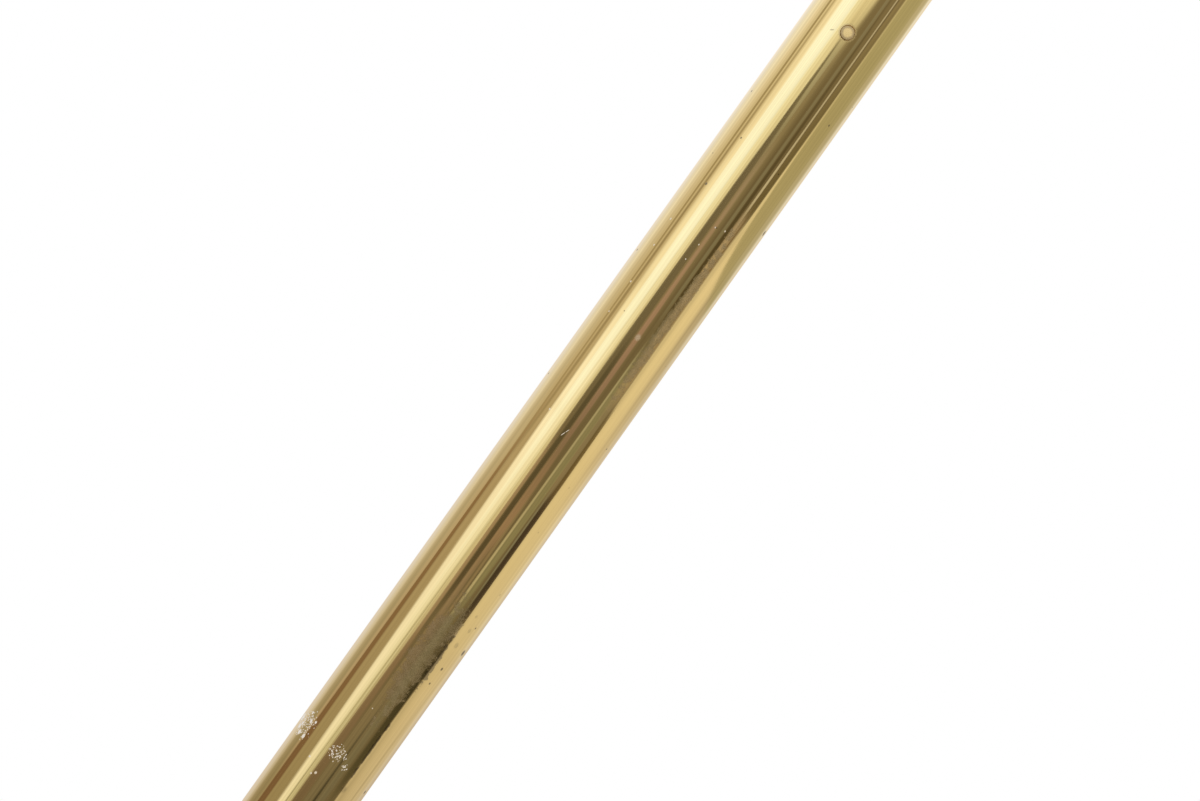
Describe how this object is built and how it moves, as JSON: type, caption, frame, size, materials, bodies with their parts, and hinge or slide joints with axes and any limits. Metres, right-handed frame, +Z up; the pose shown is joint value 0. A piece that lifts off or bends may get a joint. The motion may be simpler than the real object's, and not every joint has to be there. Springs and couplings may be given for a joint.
{
  "type": "flag pole stand",
  "caption": "Free-standing brass flag pole stand: weighted round base, socket with a thumb screw, and a push-together telescoping tube pole with a spear finial.",
  "frame": {"origin": "on the floor, at the centre of the base, below the pole's axis", "axes": "+Z up along the pole; the snap button faces -Y; both thumb screws point along +X"},
  "size_m": [0.28, 0.2798, 1.534],
  "materials": {
    "tube_brass": "polished drawn tube, worn, with fine lengthwise lines and small specks",
    "turned_brass": "polished turned brass",
    "spun_brass": "polished spun sheet brass",
    "button_brass": "satin brass",
    "iron": "rough cast, painted black",
    "rubber": "matt moulded rubber",
    "steel": "zinc-plated steel",
    "nylon": "natural nylon",
    "black_nylon": "black nylon"
  },
  "bodies": {
    "base": {"base_shell": "spun_brass", "base_weight": "iron", "rubber_feet": "rubber", "foot_screws": "steel", "centre_bolt": "steel", "centre_washer": "steel", "socket": "turned_brass"},
    "mast": {"lower_tube": "tube_brass", "end_plug": "black_nylon", "coupler": "tube_brass", "coupler_rivets": "turned_brass", "button_spring": "steel", "joint_ring": "turned_brass", "upper_tube": "tube_brass", "guide_bush": "nylon", "clamp_collar": "turned_brass", "collar_set_screw": "steel"},
    "top_mast": {"inner_tube": "tube_brass", "slide_bush": "nylon", "bush_pin": "steel", "finial_ferrule": "turned_brass", "finial_stud": "steel", "finial_spear": "turned_brass", "flag_tab_stud": "turned_brass"},
    "button": {"snap_button": "button_brass"},
    "socket_pad": {"socket_screw_pad": "nylon"},
    "socket_screw": {"socket_thumb_screw": "turned_brass"},
    "clamp_pad": {"clamp_screw_pad": "nylon"},
    "clamp_screw": {"clamp_thumb_screw": "turned_brass"}
  },
  "joints": [
    {"name": "mast_lift", "type": "slide", "parent": "base", "child": "mast", "axis": [0, 0, 1], "range_m": [0, 0.13]},
    {"name": "mast_extend", "type": "slide", "parent": "mast", "child": "top_mast", "axis": [0, 0, 1], "range_m": [0, 0.44]},
    {"name": "button_press", "type": "slide", "parent": "mast", "child": "button", "axis": [0, 1, 0], "range_m": [0, 0.0026], "stiffness_N_per_m": 2500, "springref_m": -0.001, "deforming": ["button_spring"]},
    {"name": "socket_pad_slide", "type": "slide", "parent": "base", "child": "socket_pad", "axis": [1, 0, 0], "range_m": [0, 0.003]},
    {"name": "socket_screw_turn", "type": "hinge", "parent": "socket_pad", "child": "socket_screw", "pos_m": [0.03, 0, 0.176], "axis": [1, 0, 0], "range_deg": [0, 1081]},
    {"name": "clamp_pad_slide", "type": "slide", "parent": "mast", "child": "clamp_pad", "axis": [1, 0, 0], "range_m": [0, 0.003]},
    {"name": "clamp_screw_turn", "type": "hinge", "parent": "clamp_pad", "child": "clamp_screw", "pos_m": [0.03, 0, 1.302], "axis": [1, 0, 0], "range_deg": [0, 1081]}
  ],
  "couplings": [
    {"joint": "socket_screw_turn", "follows": "socket_pad_slide", "rad_per_m": 6283.2},
    {"joint": "clamp_screw_turn", "follows": "clamp_pad_slide", "rad_per_m": 6283.2}
  ]
}
